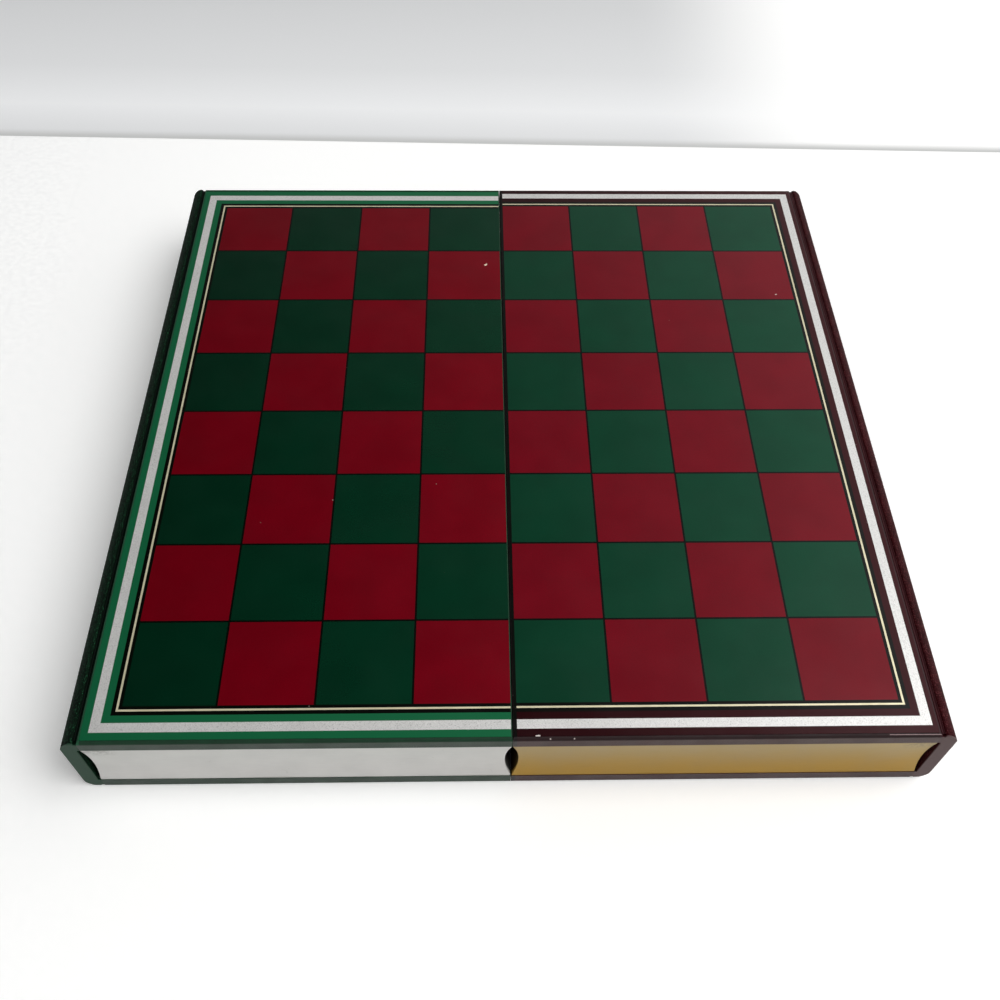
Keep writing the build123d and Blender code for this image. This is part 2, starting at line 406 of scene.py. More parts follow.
class Coat(Bench):
    """A new material for one piece, with its shader and the piece's Object coordinates."""

    def __init__(self, name: str, effects: Effects | None = None, box: Box | None = None) -> None:
        """Make the material.

        Args:
            name: Its name.
            effects: The shared effects, where it uses any.
            box: Lowest and highest corner of the piece, where its edges wear.
        """
        self.material = bpy.data.materials.new(name)
        self.material.use_nodes = True
        super().__init__(self.material.node_tree)
        self.effects, self.box = effects, box
        self.place = self.add("ShaderNodeTexCoord").outputs["Object"]

    def shade(self, **inputs: object) -> None:
        """Feed the shader's sockets; underscores in the names stand for spaces."""
        for name, value in inputs.items():
            self.feed(self.tree.nodes["Principled BSDF"].inputs[name.replace("_", " ")], value)

    def relief(self, height: Value, depth: float) -> None:
        """Raise the surface by a height of 0 to 1 times depth in millimetres."""
        bump = self.add("ShaderNodeBump", {"Strength": 1.0, "Distance": depth * MM, "Height": height})
        self.shade(Normal=bump.outputs[0])

    def effect(self, kind: str, **values: object) -> dict[str, Value]:
        """Place a shared effect with this material's own values, and give its outputs by name."""
        tree = getattr(self.effects, kind)
        node = self.add("ShaderNodeGroup", {"Place": self.place, **values}, node_tree=tree)
        return {output.name: Value(self, output) for output in node.outputs}

    def over(self, body: object, colour: Colour, mask: Value, strength: float) -> Socket:
        """Lay a colour over the body where the mask says, at a strength of 0 to 1."""
        return self.mix(mask * strength, body, colour)

    def wear(self, width: float) -> Value:
        """Worn edges of the piece's box, about width millimetres wide."""
        return self.effect("wear", Low=self.box[0], High=self.box[1], Width=width * MM)["Mask"]

    def flecks(self, spacing: float, size: float, share: float) -> Value:
        """Small dots in a share of cells, spacing and size in millimetres."""
        return self.effect("flecks", Spacing=spacing * MM, Size=size * MM, Share=share)["Mask"]

    def scratches(self, spacing: float, share: float) -> Value:
        """Hairlines, spacing in millimetres."""
        return self.effect("scratches", Spacing=spacing * MM, Share=share)["Mask"]

    def clouds(self, size: float, detail: float, low: float, high: float) -> Value:
        """Soft clouds about size millimetres across, which run from low to high."""
        return self.noise(size, detail).step(0.3, 0.7, low, high)


@dataclass(frozen=True)
class Finish:
    """Base of every finish: one Principled shader fed by its own nodes."""

    effects: Effects
    name: str

    def dress(self, piece: Piece, box: Box | None = None) -> None:
        """Put the finish on a piece.

        Args:
            piece: CAD node or new piece.
            box: Lowest and highest corner of the piece, where its edges wear.
        """
        material = self.material(piece.name, box)
        if piece.material_slots:
            for slot in piece.material_slots:
                slot.material = material
        else:
            piece.data.materials.append(material)
        log.info("%s gets %s", piece.name, self.name)

    def material(self, piece_name: str, box: Box | None = None) -> bpy.types.Material:
        """Build the material for one piece.

        Args:
            piece_name: Name of the piece.
            box: Lowest and highest corner of the piece, where its edges wear.

        Returns:
            The material.
        """
        coat = Coat(f"{self.name} {piece_name}", self.effects, box)
        self.lay(coat)
        return coat.material

    def lay(self, coat: Coat) -> None:
        """Lay out the material's nodes; each finish has its own."""
        raise NotImplementedError


@dataclass(frozen=True)
class Mark:
    """A mark at its own place on a cover, in millimetres: a chip, a scuff, and along the maroon front rim a
    scuff with a painted highlight.
    """

    start: Point
    end: Point
    radius: float
    colour: Colour

    def mask(self, coat: Coat) -> Value:
        """Find how much of the mark is at a place.

        Args:
            coat: The cover's material.

        Returns:
            The mask.
        """
        first, last = (Vector((*point, 0.0)) * MM for point in (self.start, self.end))
        along = last - first
        offset = coat.vector("SUBTRACT", coat.stretched((1.0, 1.0, 0.0)), tuple(first))
        share = (coat.measure("DOT_PRODUCT", offset, tuple(along)) / along.length_squared).clamped()
        nearest = coat.add("ShaderNodeVectorMath", {0: tuple(along), 3: share}, operation="SCALE").outputs[0]
        ragged = coat.noise(0.5, 3.0) * (2.0 * self.radius * MM)
        return coat.measure("DISTANCE", offset, nearest) < ragged


@dataclass(frozen=True)
class Leathercloth(Finish):
    """Satin covering of the boards, with worn edges, dust and painted shade in the grain's creases; the print
    runs down over the rim.
    """

    colour: Colour
    worn: Colour
    rim: Colour | None = None
    joint_rim: Colour | None = None
    marks: tuple[Mark, ...] = ()
    fore_dark: float = 0.0
    shine: float = 0.35
    pebble: float = 0.7
    rim_low: float = 40.5
    joint_start: float = 164.75

    def lay(self, coat: Coat) -> None:
        """Lay out the covering.

        Args:
            coat: The material being built.
        """
        grain = coat.effect("grain", Scale=1 / (self.pebble * MM))
        body, high = self.colour, 0.0
        if self.rim:
            x, _, z = coat.axes()
            high = z > self.rim_low * MM
            rim = coat.mix(abs(x) > self.joint_start * MM, self.rim, self.joint_rim)
            body = coat.mix(high, body, rim)
            # painted shade: the board goes dark within the seam gap, where the volumes meet
            body = coat.mix(abs(x) < self.fore_dark * MM, body, paint(14, 3, 4))
        body = coat.mix(1.0, body, coat.clouds(7.0, 4.0, 0.88, 1.12), "MULTIPLY")
        # painted shade in the creases between the pebbles
        body = coat.over(body, paint(4, 6, 4), grain["Crease"], 0.15)
        body = coat.over(body, self.worn, coat.wear(0.5), 0.15)
        body = coat.over(body, paint(170, 165, 160), coat.flecks(6.0, 0.35, 0.3), 0.35)
        for mark in self.marks:
            body = coat.mix(mark.mask(coat) * high, body, mark.colour)
        rough = high * 0.25 + coat.clouds(12.0, 3.0, 0.34, 0.44)
        coat.shade(Base_Color=body, Roughness=rough, Specular_IOR_Level=self.shine)
        coat.relief(grain["Height"], 0.015)


@dataclass(frozen=True)
class SpineHide(Finish):
    """Pebbled leather of the spine with a fine sparkle and painted highlights on its pebbles, painted shade
    in its creases, and turned in smoothly over the ends, whose colour is lighter and greyer as painted
    reflection.
    """

    colour: Colour
    worn: Colour
    spark: Colour
    turned_in: Colour
    pebble: float = 0.9
    flake: float = 0.3
    end_start: float = 166.4
    end_rough: float = 0.4

    def lay(self, coat: Coat) -> None:
        """Lay out the covering.

        Args:
            coat: The material being built.
        """
        end = abs(coat.axes()[1]) > self.end_start * MM
        grain = coat.effect("grain", Scale=1 / (self.pebble * MM))
        body = coat.mix(1.0, self.colour, coat.clouds(9.0, 4.0, 0.75, 1.25), "MULTIPLY")
        # painted shade in the creases between the pebbles
        body = coat.over(body, paint(2, 4, 3), grain["Crease"], 0.5)
        body = coat.over(body, self.worn, coat.wear(0.9), 0.2)
        # the hide's sparkle and painted highlights on the pebbles, laid into the colour as bright flakes
        flake = coat.effect("glitter", Flake=self.flake * MM, Share=0.12)
        body = coat.over(body, self.spark, flake["Spark"] * flake["Tone"], 0.6)
        rough = coat.mix(end, grain["Crease"].step(0.0, 1.0, 0.62, 0.8), (*(self.end_rough,) * 3, 1.0))
        # painted reflection: the turned-in ends get a lighter, greyer colour for the table reflected in them
        coat.shade(Base_Color=coat.mix(end, body, self.turned_in), Roughness=rough, Specular_IOR_Level=0.06)
        coat.relief(grain["Height"] * (1.0 - end), 0.07)


@dataclass(frozen=True)
class PrintedBoard(Finish):
    """Print on a cover: half of the chessboard inside its striped border. The squares and the border get
    lighter toward the right as painted light. The green volume carries a shaded copy of the square inks and
    the maroon volume a lit copy.
    """

    cover: Cover
    dark_square: tuple[Colour, Colour]
    red_square: tuple[Colour, Colour]
    border: tuple[Colour, Colour]
    border_edge: Colour
    shifts: tuple[float, float, float]
    marks: tuple[Mark, ...]
    seam_line: float
    square: float = 38.0
    seam: float = 0.75
    half_line: float = 0.011
    seam_margin: float = 0.1
    files: float = 4.0
    ranks: float = 8.0

    # where each stripe starts, in squares outward from the last squares
    BANDS = ((-0.011, "line"), (0.024, "cream"), (0.046, "line"), (0.09, "border"), (0.169, "silver"),
             (0.272, "border"), (0.366, "edge"))
    LOWEST, HIGHEST = -0.2, 0.6
    LINE = paint(5, 7, 4)
    CREAM = paint(238, 230, 194)

    def squares(self, coat: Coat) -> tuple[Value, Value, Value]:
        """Work out the squares' coordinates.

        Args:
            coat: The print's material.

        Returns:
            Files from the seam, ranks from the front, and the way out of the board, in squares. The
            stripes lie a little off their usual place on each side, by the finish's shifts.
        """
        x, y, _ = coat.axes()
        pitch = self.square * MM
        file = (abs(x) - self.seam * MM) / pitch
        rank = (y + self.ranks / 2 * pitch) / pitch
        front, side, back = self.shifts
        past_rank = (-front - rank).most(rank - (self.ranks + back))
        return file.most(0.001), rank, (file - (self.files + side)).most(past_rank)

    def band(self, coat: Coat, way_out: Value, tints: dict[str, Colour]) -> Value:
        """Give each stripe of the border its tint.

        Args:
            coat: The print's material.
            way_out: Distance outward from the last squares, in squares.
            tints: Tint of each kind of stripe.

        Returns:
            The colour, or a mask where the tints are black and white.
        """
        span = self.HIGHEST - self.LOWEST
        ramp = coat.add("ShaderNodeValToRGB", {0: (way_out - self.LOWEST) / span})
        ramp.color_ramp.interpolation = "CONSTANT"
        stops = ramp.color_ramp.elements
        stops[0].color = tints["line"]
        stops.remove(stops[1])
        for start, kind in self.BANDS:
            stops.new((start - self.LOWEST) / span).color = tints[kind]
        return Value(coat, ramp.outputs[0])

    def chequer(self, coat: Coat, file: Value, rank: Value) -> Socket:
        """Colour the squares and draw the thin lines between them.

        Args:
            coat: The print's material.
            file: Files from the seam.
            rank: Ranks from the front.

        Returns:
            The colour.
        """
        count = file.math("FLOOR", file) + rank.math("FLOOR", rank)
        # painted light: each square colour runs from its seam tone to its outer tone, lighter toward the
        # right on both volumes
        tones = [coat.mix(file / self.files, *pair) for pair in (self.red_square, self.dark_square)]
        first, second = tones if self.cover is Cover.GREEN else reversed(tones)
        colour = coat.mix(count.math("FLOORED_MODULO", count, 2.0), first, second)
        speckle = coat.clouds(22.0, 3.0, 0.93, 1.07) * coat.clouds(0.6, 2.0, 0.96, 1.04)
        colour = coat.mix(1.0, colour, speckle, "MULTIPLY")
        on_file, on_rank = (abs(axis - axis.math("ROUND", axis)) < self.half_line for axis in (file, rank))
        return coat.mix((on_file * (file > self.seam_margin)).most(on_rank), colour, self.LINE)

    def lay(self, coat: Coat) -> None:
        """Lay out the print.

        Args:
            coat: The material being built.
        """
        file, rank, way_out = self.squares(coat)
        # border and silver are only kept free here, for the colours they get below
        tints = {"line": self.LINE, "cream": self.CREAM, "edge": self.border_edge, "border": BLACK,
                 "silver": BLACK}

        def only(kind: str) -> Value:
            """Mask of one kind of stripe."""
            return self.band(coat, way_out, {**dict.fromkeys(tints, BLACK), kind: WHITE})

        silver, cream = only("silver"), only("cream")
        foil = (silver + cream).clamped()
        stripes = self.band(coat, way_out, tints)
        # painted light: the border colour runs from its seam tone to its outer tone, lighter toward the right
        stripes = coat.mix(only("border"), stripes, coat.mix(file / 4.5, *self.border))
        flake = coat.effect("glitter", Flake=0.3 * MM, Share=0.1)
        flitter = coat.mix(flake["Tone"], paint(230, 229, 226), paint(254, 253, 251))
        flitter = coat.over(flitter, paint(150, 150, 148), flake["Spark"], 0.3)
        stripes = coat.mix(silver, stripes, flitter)
        gilt = cream * coat.noise(5.0, 3.0).step(0.35, 0.7)
        stripes = coat.mix(gilt, stripes, paint(250, 242, 208))
        body = coat.mix(way_out < self.BANDS[0][0], stripes, self.chequer(coat, file, rank))
        # painted shade: the seam gap's shadow is laid over the print in the line colour
        body = coat.mix(abs(coat.axes()[0]) < self.seam_line * MM, body, self.LINE)
        body = coat.over(body, paint(200, 190, 175), coat.flecks(16.0, 0.5, 0.35), 0.4)
        for mark in self.marks:
            body = coat.mix(mark.mask(coat), body, mark.colour)
        rough = foil * 0.22 + coat.clouds(18.0, 4.0, 0.19, 0.24)
        coat.shade(Base_Color=body, Metallic=foil * 0.55, Roughness=rough, Specular_IOR_Level=0.4)
        coat.relief(flake["Tone"] * silver * 1.5 + coat.noise(1.2), 0.006)


@dataclass(frozen=True)
class PagePaint(Finish):
    """Metal-toned paint on the page block, ruled like cut pages, and dark paper inside the tray; lighter and
    greyer toward the top as painted reflection, with painted shade in the fore-edge hollow and at the upper
    corners of the ends by the spine.
    """

    paint_high: Colour
    paint_low: Colour
    inside: Colour
    shine: float
    inner: tuple[float, float, float] = (9.2, 157.1, 157.6)
    low: float = 8.0
    high: float = 34.0
    hollow_end: float = 3.4
    end_face: float = 165.0
    smudge_across: Point = (151.0, 159.0)
    smudge_up: Point = (27.0, 34.0)

    def lay(self, coat: Coat) -> None:
        """Lay out the paint.

        Args:
            coat: The material being built.
        """
        x, y, z = coat.axes()
        across, along = abs(x), abs(y)
        leaves = coat.noise(0.35, 3.0, 0.6, coat.stretched((0.06, 0.06, 1.0)))
        # painted reflection: lighter and greyer toward the top, more saturated toward the bottom
        body = coat.mix(z.step(self.low * MM, self.high * MM), self.paint_low, self.paint_high)
        tone = (leaves - 0.5) * 0.12 + coat.clouds(14.0, 3.0, 0.96, 1.04)
        body = coat.mix(1.0, body, tone, "MULTIPLY")
        body = coat.over(body, paint(90, 86, 80), coat.flecks(4.5, 0.32, 0.3), 0.6)
        body = coat.over(body, paint(120, 116, 108), coat.scratches(17.0, 0.36), 0.1)
        at_end = along > self.end_face * MM
        # painted shade: dark patches on the end faces at their upper corners by the spine
        corner = (across.step(*(value * MM for value in self.smudge_across))
                  * z.step(*(value * MM for value in self.smudge_up)))
        corner_shade = corner * coat.noise(1.6, 4.0, 0.7).step(0.4, 0.6) * at_end
        body = coat.over(body, paint(84, 78, 68), corner_shade, 0.45)
        # painted shade: the page faces inside the fore-edge hollow are darkened, short of the ends
        hollow = (across < self.hollow_end * MM) * (along < self.end_face * MM)
        body = coat.over(body, paint(18, 17, 15), hollow, 0.8)
        start, end, half_depth = (value * MM for value in self.inner)
        within = (across > start) * (across < end) * (along < half_depth)
        body = coat.mix(within, body, self.inside)
        rough = within * 0.45 + coat.clouds(14.0, 3.0, 0.4, 0.5)
        coat.shade(Base_Color=body, Metallic=(1.0 - within) * self.shine, Roughness=rough,
                   Specular_IOR_Level=0.5)
        coat.relief(leaves, 0.012)


@dataclass(frozen=True)
class Felt(Finish):
    """Pressed wool felt."""

    colour: Colour
    light: Colour

    def lay(self, coat: Coat) -> None:
        """Lay out the felt.

        Args:
            coat: The material being built.
        """
        matted = coat.effect("fibres")
        body = coat.mix(matted["Tone"].step(0.35, 0.72), self.colour, self.light)
        body = coat.over(body, paint(150, 150, 140), coat.flecks(9.0, 0.4, 0.25), 0.4)
        coat.shade(Base_Color=body, Roughness=0.95, Sheen_Weight=0.35, Sheen_Roughness=0.4,
                   Specular_IOR_Level=0.15)
        coat.relief(matted["Height"], 0.35)


@dataclass(frozen=True)
class SandedWood(Finish):
    """Plain sanded hardwood of the dividers, its grain along the piece."""

    light: Colour
    dark: Colour
    pores: Colour

    def lay(self, coat: Coat) -> None:
        """Lay out the wood.

        Args:
            coat: The material being built; the long divider's name has the word long in it.
        """
        stretch = (9.0, 0.7, 9.0) if "long" in coat.material.name else (0.7, 9.0, 9.0)
        rings = coat.noise(26.0, 4.0, 0.6, coat.stretched(stretch)) * 9.0
        bands = rings.math("PINGPONG", rings, 1.0)
        body = coat.mix(bands.step(0.1, 0.95), self.light, self.dark)
        fine = coat.noise(9.0, 3.0, place=coat.stretched(tuple(3 * value for value in stretch)))
        pore = fine.step(0.60, 0.68)
        body = coat.over(body, self.pores, pore, 0.5)
        body = coat.over(body, self.pores, coat.wear(0.7), 0.3)
        coat.shade(Base_Color=body, Roughness=bands.step(0.0, 1.0, 0.46, 0.60), Specular_IOR_Level=0.4)
        coat.relief(bands - pore, 0.02)


@dataclass(frozen=True)
class PlatedMetal(Finish):
    """Plated metal with hairlines, dulled in patches."""

    bright: Colour
    dull: Colour
    rough: tuple[float, float] = (0.22, 0.42)

    def lay(self, coat: Coat) -> None:
        """Lay out the plating.

        Args:
            coat: The material being built.
        """
        cloud = coat.noise(6.0, 5.0, 0.6)
        hair = coat.scratches(5.0, 0.5)
        body = coat.over(self.bright, self.dull, cloud.step(0.45, 0.75), 0.6)
        body = coat.over(body, self.dull, hair, 0.3)
        rough = hair * 0.15 + cloud.step(0.3, 0.7, *self.rough)
        coat.shade(Base_Color=body, Metallic=1.0, Roughness=rough)
        coat.relief(coat.noise(0.5, 3.0), 0.01)


def clear_selection() -> None:
    """Deselect every object, because operators act on all that is selected."""
    if bpy.context.mode != "OBJECT":
        bpy.ops.object.mode_set(mode="OBJECT")
    bpy.ops.object.select_all(action="DESELECT")


def take(*pieces: Piece) -> None:
    """Select only these pieces, the first of them as the active one."""
    clear_selection()
    for piece in pieces:
        piece.select_set(True)
    bpy.context.view_layer.objects.active = pieces[0]


def finish_with(piece: Piece, kind: str, **settings: object) -> None:
    """Add a modifier and apply it.

    Args:
        piece: The piece.
        kind: Modifier type.
        **settings: Attributes of the modifier.
    """
    take(piece)
    modifier = piece.modifiers.new(kind.title(), kind)
    for name, setting in settings.items():
        setattr(modifier, name, setting)
    bpy.ops.object.modifier_apply(modifier=modifier.name)


def smooth(piece: Piece, degrees: float) -> None:
    """Shade a piece smooth, except at edges sharper than an angle."""
    take(piece)
    bpy.ops.object.shade_smooth_by_angle(angle=math.radians(degrees))


def face_outward() -> None:
    """Turn every face of the piece in edit mode outward."""
    bpy.ops.mesh.select_all(action="SELECT")
    bpy.ops.mesh.normals_make_consistent(inside=False)


def extrude(shift: tuple[float, float, float]) -> None:
    """Extrude what is selected by a shift in metres."""
    bpy.ops.mesh.extrude_region_move(TRANSFORM_OT_translate={"value": shift})


def raise_rings(start: Point, sections: Sequence[Point]) -> None:
    """Extrude the selected face from section to section.

    Args:
        start: Radius and height of the selected face, in millimetres.
        sections: Radius and height of each further ring.
    """
    radius, low = start
    for wider, high in sections:
        extrude((0, 0, (high - low) * MM))
        share = wider / radius
        bpy.ops.transform.resize(value=(share, share, 1), center_override=(0, 0, high * MM))
        radius, low = wider, high


def pick_faces(piece: Piece, wanted: Callable[[Vector, Vector], bool]) -> None:
    """Select the faces, in edit mode, that a test wants.

    Args:
        piece: The piece, in edit mode.
        wanted: Test that gets a face's middle and its normal.
    """
    bpy.ops.object.mode_set(mode="OBJECT")
    for part in (piece.data.vertices, piece.data.edges, piece.data.polygons):
        part.foreach_set("select", [False] * len(part))
    for face in piece.data.polygons:
        face.select = wanted(face.center, face.normal)
    bpy.ops.object.mode_set(mode="EDIT")
    bpy.ops.mesh.select_mode(type="FACE")


class ManKind(Enum):
    """Kinds of men, with the cells that they take along the tray."""

    ROOK = (0, 7)
    KNIGHT = (1, 6)
    BISHOP = (2, 5)
    QUEEN = (3,)
    KING = (4,)
    PAWN = tuple(range(8))

    @property
    def word(self) -> str:
        """Name of one such man."""
        return self.name.lower()

    @property
    def node(self) -> str:
        """Second half of the name of the CAD node that holds these men."""
        return self.word if len(self.value) == 1 else self.word + "s"


@dataclass(frozen=True)
class Man:
    """A turned man, upright on the origin: radii and heights in millimetres."""

    kind: ManKind
    foot: float
    height: float
    tip_radius: float
    tip_height: float
    sections: tuple[Point, ...]
    around: int = 48
    pad: float = 0.5
    tread: float = 2.6

    def profile(self) -> list[Point]:
        """The foot, from its felt pad to the start of the neck, and then the man's own sections."""
        steps_in = ((0.5, 0.0), (0.5, self.pad), (0.25, self.pad + 0.05), (0.0, 0.9), (0.0, 2.1),
                    (0.3, 2.5), (1.0, 2.7), (1.15, 3.0), (1.0, 3.4), (1.4, 3.9), (2.6, 4.5))
        return [(self.foot - step, high) for step, high in steps_in] + list(self.sections)

    def turn(self) -> Piece:
        """Turn the profile: a ring is extruded up and scaled for each section.

        Returns:
            The turned body, in edit mode with its top face selected.
        """
        clear_selection()
        start, *sections = self.profile()
        bpy.ops.mesh.primitive_circle_add(vertices=self.around, radius=start[0] * MM, fill_type="NGON")
        body = bpy.context.object
        body.name = self.kind.word
        bpy.ops.object.mode_set(mode="EDIT")
        bpy.ops.mesh.select_mode(type="FACE")
        bpy.ops.mesh.select_all(action="SELECT")
        raise_rings(start, sections)
        return body

    def shape(self, body: Piece) -> None:
        """Carve what isn't turned; a plain man has nothing more."""

    def build(self) -> Piece:
        """Build the man upright, with closed outward faces.

        Returns:
            The man.
        """
        body = self.turn()
        self.shape(body)
        if bpy.context.mode == "OBJECT":
            bpy.ops.object.mode_set(mode="EDIT")
        face_outward()
        smooth(body, 38)
        return body

    def lie(self, toward: int) -> Matrix:
        """How the man lies on its side, touching the felt with foot and head.

        Args:
            toward: 1 when the head points away from the foot's place along +X, -1 for -X.

        Returns:
            The turn and lift, for a foot that starts at the origin.
        """
        tilt = math.atan2(self.foot - self.tip_radius, self.tip_height - self.tread)
        lift = self.tread * math.sin(tilt) + self.foot * math.cos(tilt)
        turned = Matrix.Rotation(0 if toward > 0 else math.pi, 4, "Z")
        return Matrix.Translation((0, 0, lift * MM)) @ turned @ Matrix.Rotation(math.pi / 2 + tilt, 4, "Y")


def ball(middle: float, radius: float, start: float, steps: int = 9) -> tuple[Point, ...]:
    """Sections of a ball on a neck.

    Args:
        middle: Height of the ball's middle.
        radius: Its radius.
        start: Angle below the middle at which the neck meets it, in degrees.
        steps: How many sections it has.

    Returns:
        The sections, up to a small flat on top.
    """
    angles = [math.radians(-start + (84 + start) * step / (steps - 1)) for step in range(steps)]
    return tuple((radius * math.cos(angle), middle + radius * math.sin(angle)) for angle in angles)


@dataclass(frozen=True)
class Rook(Man):
    """Rook, whose crown is hollowed and raised into four battlements."""

    wall: float = 1.8
    well: float = 2.6
    merlon: float = 2.4
    gap_angle: float = 0.2

    def shape(self, body: Piece) -> None:
        """Hollow the crown and raise the battlements.

        Args:
            body: Turned body, its top face selected.
        """
        bpy.ops.mesh.inset(thickness=self.wall * MM)
        extrude((0, 0, -self.well * MM))
        top = self.sections[-1][1] * MM

        def on_merlon(middle: Vector, normal: Vector) -> bool:
            """Whether a rim face carries a battlement."""
            quarter = math.atan2(middle.y, middle.x) % (math.pi / 2)
            on_rim = abs(middle.z - top) < 0.1 * MM and middle.xy.length > 0.4 * self.foot * MM
            return on_rim and normal.z > 0.9 and abs(quarter - math.pi / 4) > self.gap_angle

        pick_faces(body, on_merlon)
        extrude((0, 0, self.merlon * MM))


@dataclass(frozen=True)
class Bishop(Man):
    """Bishop, whose mitre has one slanted cut."""

    cut: float = 1.1
    slant: float = -35.0

    def shape(self, body: Piece) -> None:
        """Cut the mitre.

        Args:
            body: Turned body.
        """
        face_outward()
        clear_selection()
        bpy.ops.mesh.primitive_cube_add(size=1)
        blade = bpy.context.object
        mitre = self.tip_radius
        size = Matrix.Diagonal((2.4 * mitre * MM, 1.25 * mitre * MM, self.cut * MM, 1))
        place = Matrix.Translation((0, -0.62 * mitre * MM, (self.height - 0.95 * mitre) * MM))
        blade.data.transform(place @ Matrix.Rotation(math.radians(self.slant), 4, "X") @ size)
        finish_with(body, "BOOLEAN", operation="DIFFERENCE", object=blade, solver="EXACT")
        bpy.data.objects.remove(blade)


@dataclass(frozen=True)
class Queen(Man):
    """Queen, whose coronet has eight points around a low dome."""

    points: int = 8
    point: float = 1.5
    rim_width: float = 1.0

    def shape(self, body: Piece) -> None:
        """Raise the dome and the points.

        Args:
            body: Turned body, its top face selected.
        """
        rim, low = self.sections[-1]
        bpy.ops.mesh.inset(thickness=self.rim_width * MM)
        dome = ((0.70, 0.2), (0.56, -0.9), (0.38, -1.6), (0.22, -1.9), (0.19, -2.2), (0.27, -2.8),
                (0.26, -3.5), (0.16, -4.0))
        rings = [(share * rim, low - down) for share, down in dome]
        raise_rings((rim - self.rim_width, low), [(rim - 1.4, low - 1.2), *rings, (0.04 * rim, self.height)])

        def on_point(middle: Vector, normal: Vector) -> bool:
            """Whether a rim face carries a point of the coronet."""
            share = (math.atan2(middle.y, middle.x) / (2 * math.pi / self.points)) % 1
            on_rim = abs(middle.z - low * MM) < 0.05 * MM and middle.xy.length > (rim - self.rim_width) * MM
            return on_rim and normal.z > 0.5 and 0.2 < share < 0.8

        pick_faces(body, on_point)
        extrude((0, 0, self.point * MM))
        bpy.ops.transform.resize(value=(0.985, 0.985, 1), center_override=(0, 0, (low + self.point) * MM))


@dataclass(frozen=True)
class King(Man):
    """King, with an upright cross on a flared crown."""

    cross_height: float = 8.0
    cross_width: float = 9.0
    bar: float = 2.6
    sunk: float = 0.6
    flare: float = 1.35

    def shape(self, body: Piece) -> None:
        """Put the cross on the crown.

        Args:
            body: Turned body.
        """
        clear_selection()
        middle = (self.height - self.cross_height / 2) * MM
        bpy.ops.mesh.primitive_cube_add(size=self.bar * MM)
        cross = bpy.context.object
        cross.data.transform(Matrix.Translation((0, 0, middle)))
        bpy.ops.object.mode_set(mode="EDIT")
        arms = ((1, 1, self.cross_width / 2), (1, -1, self.cross_width / 2),
                (2, 1, self.cross_height / 2), (2, -1, self.cross_height / 2 + self.sunk))
        for axis, side, reach in arms:
            def on_arm(place: Vector, normal: Vector) -> bool:
                """Whether a face ends this arm."""
                away = (place - Vector((0, 0, middle)))[axis] * side
                return normal[axis] * side > 0.9 and away > 0.45 * self.bar * MM

            pick_faces(cross, on_arm)
            shift, flare = [0.0] * 3, [1.0] * 3
            shift[axis] = side * (reach - self.bar / 2) * MM
            flare[3 - axis] = self.flare
            extrude(tuple(shift))
            bpy.ops.transform.resize(value=tuple(flare), center_override=(0, 0, middle))
        face_outward()
        finish_with(cross, "BEVEL", width=0.3 * MM, segments=2, limit_method="ANGLE")
        take(body, cross)
        bpy.ops.object.join()


@dataclass(frozen=True)
class Knight(Man):
    """Knight: a horse's neck and head drawn out of the foot, ring by ring."""

    # middle along Y and Z, lean in degrees, half width, half depth
    RINGS = (
        (0.0, 5.6, 0, 5.4, 6.4), (-0.5, 8.4, 0, 4.2, 5.4), (-1.3, 12.5, -4, 3.5, 4.8),
        (-1.9, 17.0, -4, 3.2, 4.7), (-2.1, 21.5, 2, 3.1, 5.0), (-1.6, 26.0, 14, 3.1, 5.5),
        (-0.6, 30.0, 34, 3.2, 5.7), (1.0, 32.3, 62, 3.3, 5.2), (2.9, 31.6, 98, 3.2, 4.5),
        (4.6, 29.2, 126, 2.8, 3.7), (6.1, 26.9, 134, 2.3, 2.9), (7.3, 25.2, 134, 2.2, 2.5),
        (8.2, 24.2, 134, 1.9, 2.1), (8.6, 23.8, 134, 1.2, 1.4))
    CREST_LOW, MANE = 9.0, 1.1
    EAR, EYE = Vector((1.55, 0.6, 38.2)), Vector((2.85, 3.7, 32.0))

    def shape(self, body: Piece) -> None:
        """Draw out the neck and head, then add mane, ears and eyes.

        Args:
            body: Turned foot, its top face selected.
        """
        radius, height = self.profile()[-1]
        y, z, lean, width, depth = 0.0, height, 0.0, radius, radius
        for ring in self.RINGS:
            extrude((0, (ring[0] - y) * MM, (ring[1] - z) * MM))
            middle = (0, ring[0] * MM, ring[1] * MM)
            turn = math.radians(ring[2] - lean)
            bpy.ops.transform.rotate(value=turn, orient_axis="X", center_override=middle)
            share = ring[4] / depth
            bpy.ops.transform.resize(value=(ring[3] / width, share, share), center_override=middle)
            y, z, lean, width, depth = ring

        def on_crest(middle: Vector, normal: Vector) -> bool:
            """Whether a face lies on the crest of the neck."""
            behind = normal.y < -0.5 or (normal.z > 0.6 and middle.y < 1.5 * MM)
            high = middle.z > self.CREST_LOW * MM and middle.y < 2.0 * MM
            return abs(middle.x) < 0.9 * MM and high and behind

        pick_faces(body, on_crest)
        bpy.ops.mesh.extrude_region_shrink_fatten(TRANSFORM_OT_shrink_fatten={"value": self.MANE * MM})
        parts = [body]
        for side in (-1, 1):
            mirror = Matrix.Scale(MM, 4) @ Matrix.Diagonal((side, 1, 1, 1))
            clear_selection()
            bpy.ops.mesh.primitive_cone_add(vertices=12, radius1=1.25 * MM, radius2=0.25 * MM, depth=6.4 * MM)
            lean_out = Matrix.Rotation(math.radians(-10), 4, "X") @ Matrix.Diagonal((0.75, 1, 1, 1))
            bpy.context.object.data.transform(Matrix.Translation(mirror @ self.EAR) @ lean_out)
            parts.append(bpy.context.object)
            clear_selection()
            bpy.ops.mesh.primitive_uv_sphere_add(segments=12, ring_count=8, radius=0.65 * MM)
            bpy.context.object.data.transform(Matrix.Translation(mirror @ self.EYE))
            parts.append(bpy.context.object)
        take(*parts)
        bpy.ops.object.join()


